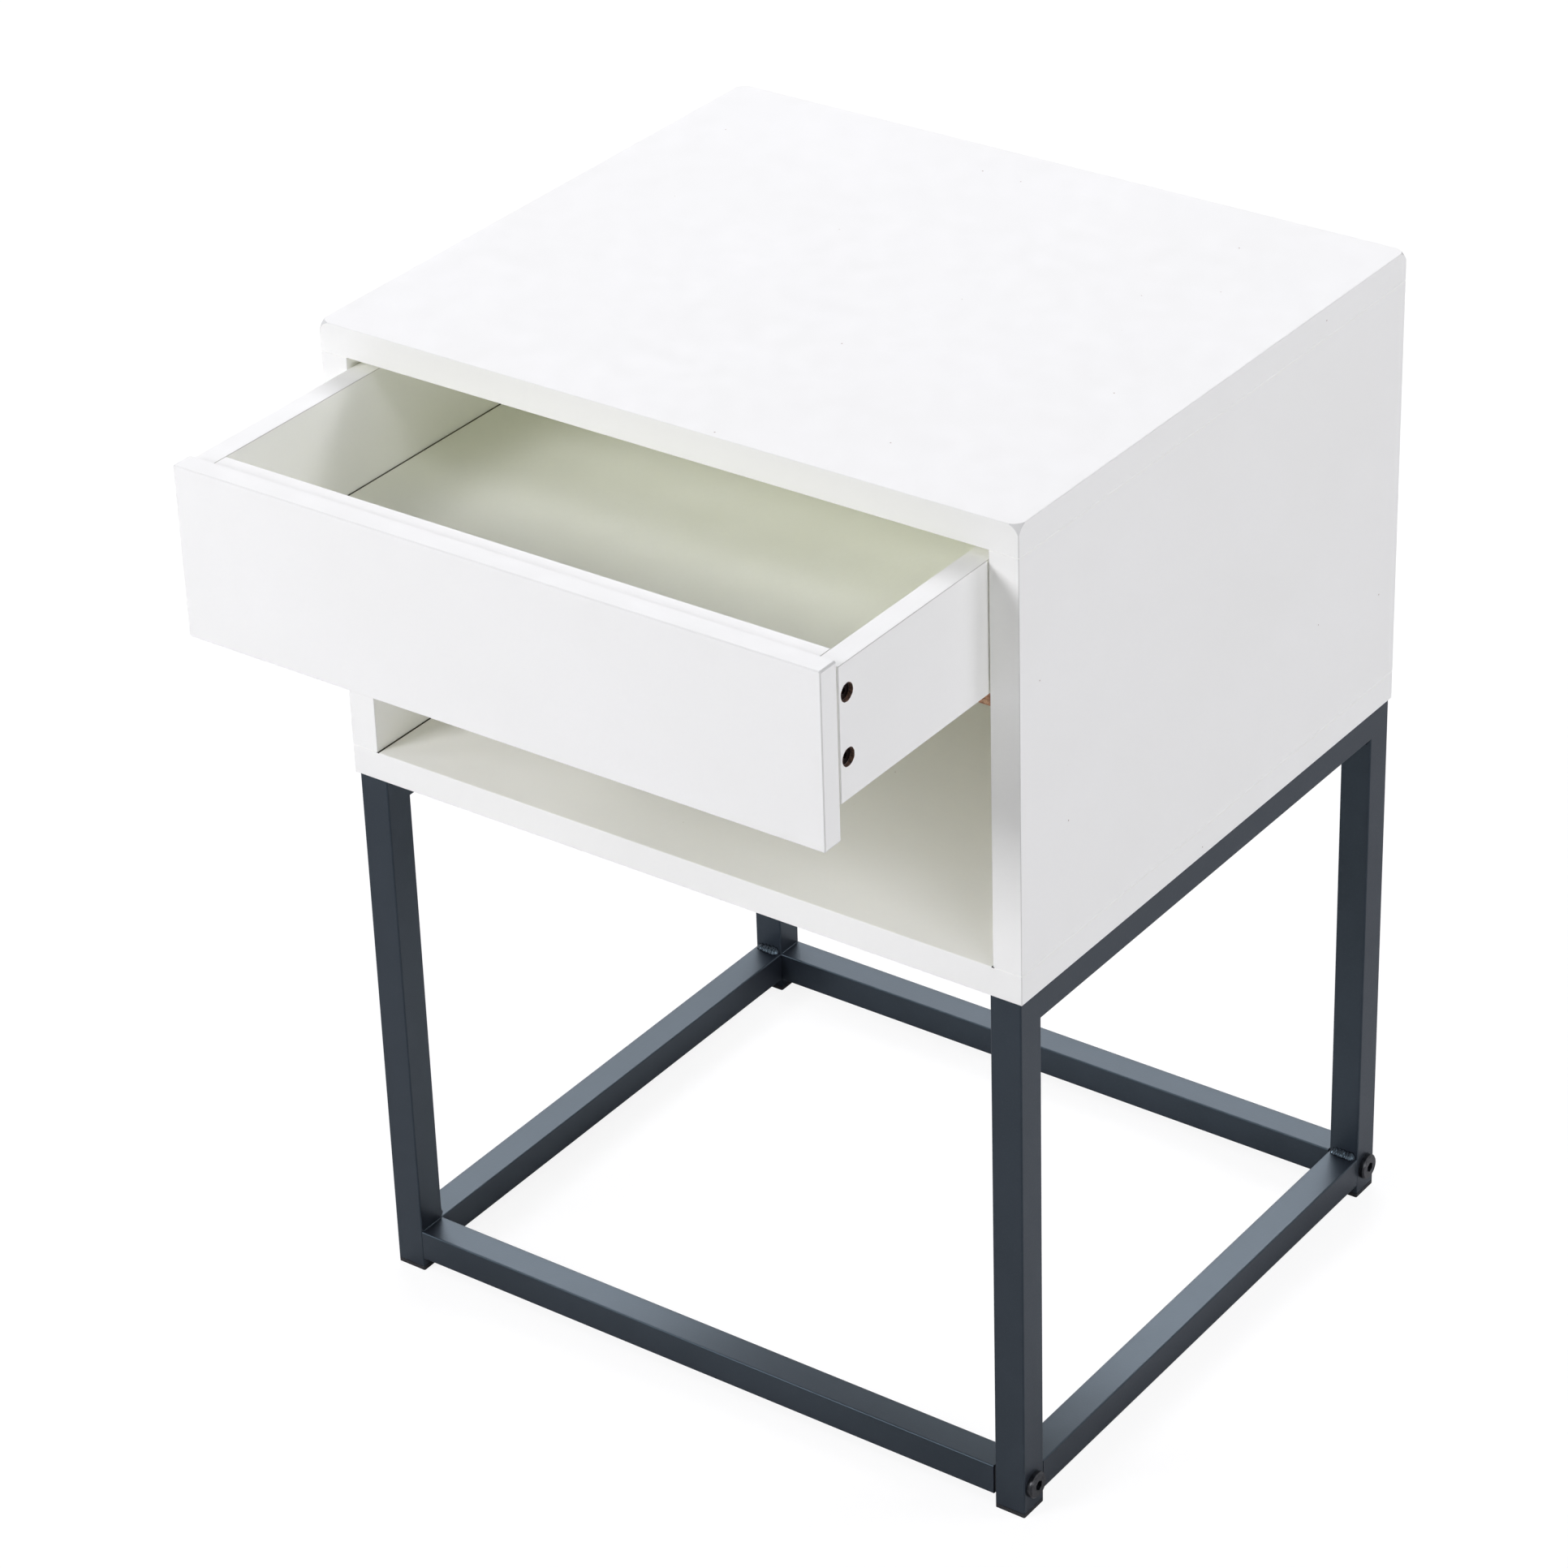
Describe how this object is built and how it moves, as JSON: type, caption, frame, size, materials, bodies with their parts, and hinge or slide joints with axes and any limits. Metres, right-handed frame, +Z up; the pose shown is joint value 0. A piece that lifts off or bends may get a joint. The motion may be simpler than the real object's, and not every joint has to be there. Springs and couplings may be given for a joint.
{
  "type": "nightstand",
  "caption": "Bedside cabinet: a white board box with a sliding, handleless drawer over an open shelf, on an open dark steel tube frame.",
  "frame": {"origin": "on the floor under the middle of the white box", "axes": "+X to the right as seen from the front, +Y to the back, +Z up; the drawer opens towards -Y"},
  "size_m": [0.4013, 0.472, 0.551],
  "materials": {
    "white_board": "matt white melamine on chipboard",
    "white_hardboard": "matt white lacquered thin board",
    "raw_wood": "raw reddish chipboard",
    "frame_coating": "fine textured anthracite powder coat",
    "black_plastic": "matt",
    "black_bolt": "black oxide, satin",
    "dark_screw": "dark burnished steel"
  },
  "bodies": {
    "cabinet": {"top_panel": "white_board", "bottom_panel": "white_board", "side_panel_left": "white_board", "side_panel_right": "white_board", "back_panel": "white_hardboard", "runner_left": "raw_wood", "runner_right": "raw_wood", "leg_front_left": "frame_coating", "leg_front_right": "frame_coating", "leg_back_left": "frame_coating", "leg_back_right": "frame_coating", "top_rail_left": "frame_coating", "top_rail_right": "frame_coating", "side_rail_left": "frame_coating", "side_rail_right": "frame_coating", "cross_rail_front": "frame_coating", "cross_rail_back": "frame_coating", "foot_cap_front_left": "black_plastic", "foot_cap_front_right": "black_plastic", "foot_cap_back_left": "black_plastic", "foot_cap_back_right": "black_plastic", "rail_end_plugs": "black_plastic", "rail_bolts": "black_bolt", "frame_to_box_screws": "black_bolt"},
    "drawer": {"drawer_front": "white_board", "drawer_inner_front": "white_board", "drawer_side_left": "white_board", "drawer_side_right": "white_board", "drawer_back": "white_board", "drawer_floor": "white_hardboard", "drawer_front_screws": "dark_screw"}
  },
  "joints": [
    {"name": "drawer_slide", "type": "slide", "parent": "cabinet", "child": "drawer", "axis": [0, -1, 0], "range_m": [-0.127, 0.103]}
  ]
}
